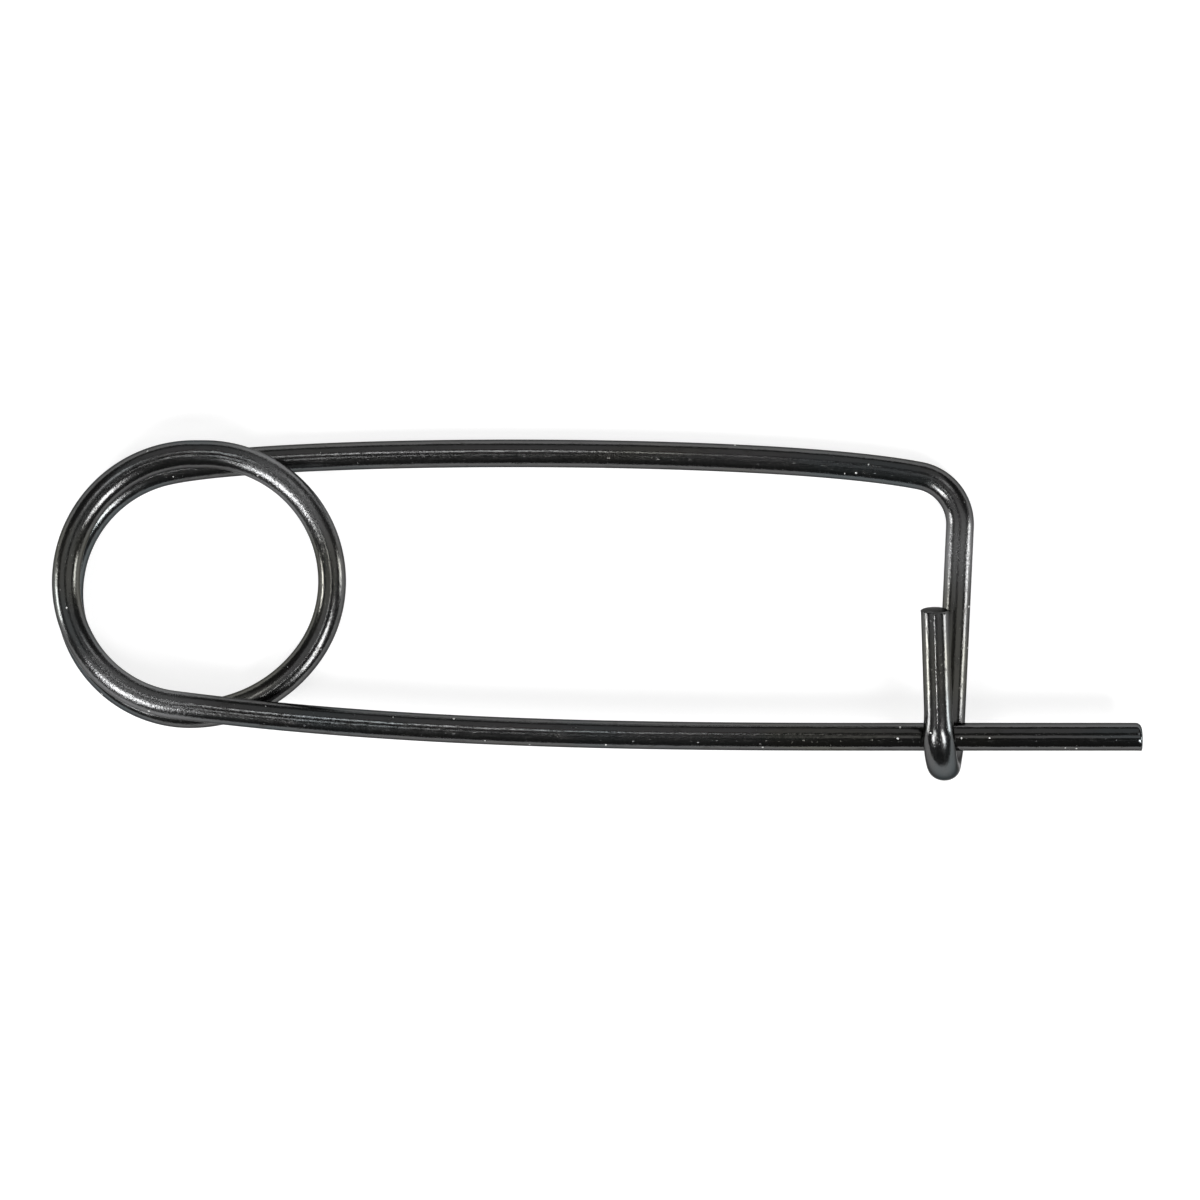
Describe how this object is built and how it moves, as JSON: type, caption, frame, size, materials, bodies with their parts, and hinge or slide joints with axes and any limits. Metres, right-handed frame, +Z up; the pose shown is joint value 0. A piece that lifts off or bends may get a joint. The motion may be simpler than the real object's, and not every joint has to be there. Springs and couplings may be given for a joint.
{
  "type": "coiled wire safety pin",
  "caption": "Spring wire retaining pin: a coiled eye joins a straight arm, which goes through a hole, to an arched arm whose end hooks round it to lock it shut.",
  "frame": {"origin": "middle of the coiled eye, on the bench the pin lies on", "axes": "+X from the eye along the arms to the clasp and the free end, +Y from the straight arm to the arched arm, +Z up from the bench, towards the prong"},
  "size_m": [0.0925, 0.0291, 0.0092],
  "materials": {
    "zinc_steel": "bright zinc plate, drawn wire"
  },
  "bodies": {
    "root": {"pin_wire": "zinc_steel"}
  },
  "joints": []
}
